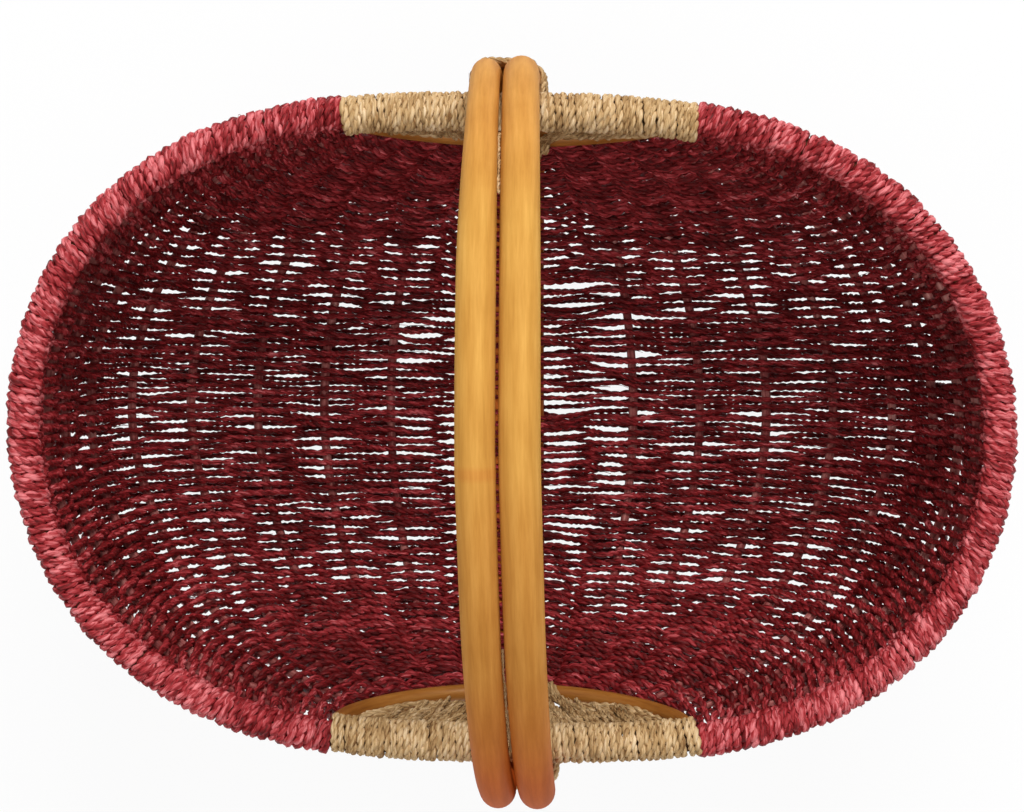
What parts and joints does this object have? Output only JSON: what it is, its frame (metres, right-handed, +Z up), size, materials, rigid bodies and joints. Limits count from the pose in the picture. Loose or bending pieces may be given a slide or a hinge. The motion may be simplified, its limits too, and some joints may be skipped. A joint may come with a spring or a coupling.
{
  "type": "market basket",
  "caption": "Oval rib basket of twisted red seagrass on cane ribs, with straw-corded ears and a fixed double-cane arch handle.",
  "frame": {"origin": "centre of the base, on the surface that the basket stands on", "axes": "+X along the basket, +Y across it in the plane of the handle, +Z up"},
  "size_m": [0.485, 0.3586, 0.404],
  "materials": {
    "rim_cane": "matt peeled cane",
    "hoop_cane": "satin varnished honey cane",
    "bow_cane": "satin amber cane",
    "rib_cane": "matt split cane, tinted by the dye",
    "red_grass": "dyed twisted seagrass cord",
    "straw_cord": "undyed twisted seagrass cord"
  },
  "bodies": {
    "root": {"ear_bow_back": "bow_cane", "ear_bow_front": "bow_cane", "ear_panel_back_left": "straw_cord", "ear_panel_back_right": "straw_cord", "ear_panel_front_left": "straw_cord", "ear_panel_front_right": "straw_cord", "handle_hoop_left": "hoop_cane", "handle_hoop_right": "hoop_cane", "handle_lashing_back": "straw_cord", "handle_lashing_front": "straw_cord", "red_rim_winding_left": "red_grass", "red_rim_winding_right": "red_grass", "rib_left_1": "rib_cane", "rib_left_2": "rib_cane", "rib_left_3": "rib_cane", "rib_left_4": "rib_cane", "rib_left_5": "rib_cane", "rib_left_6": "rib_cane", "rib_left_7": "rib_cane", "rib_left_8": "rib_cane", "rib_right_1": "rib_cane", "rib_right_2": "rib_cane", "rib_right_3": "rib_cane", "rib_right_4": "rib_cane", "rib_right_5": "rib_cane", "rib_right_6": "rib_cane", "rib_right_7": "rib_cane", "rib_right_8": "rib_cane", "rim_hoop": "rim_cane", "straw_rim_winding_back_left": "straw_cord", "straw_rim_winding_back_right": "straw_cord", "straw_rim_winding_front_left": "straw_cord", "straw_rim_winding_front_right": "straw_cord", "woven_wall": "red_grass"}
  },
  "joints": []
}
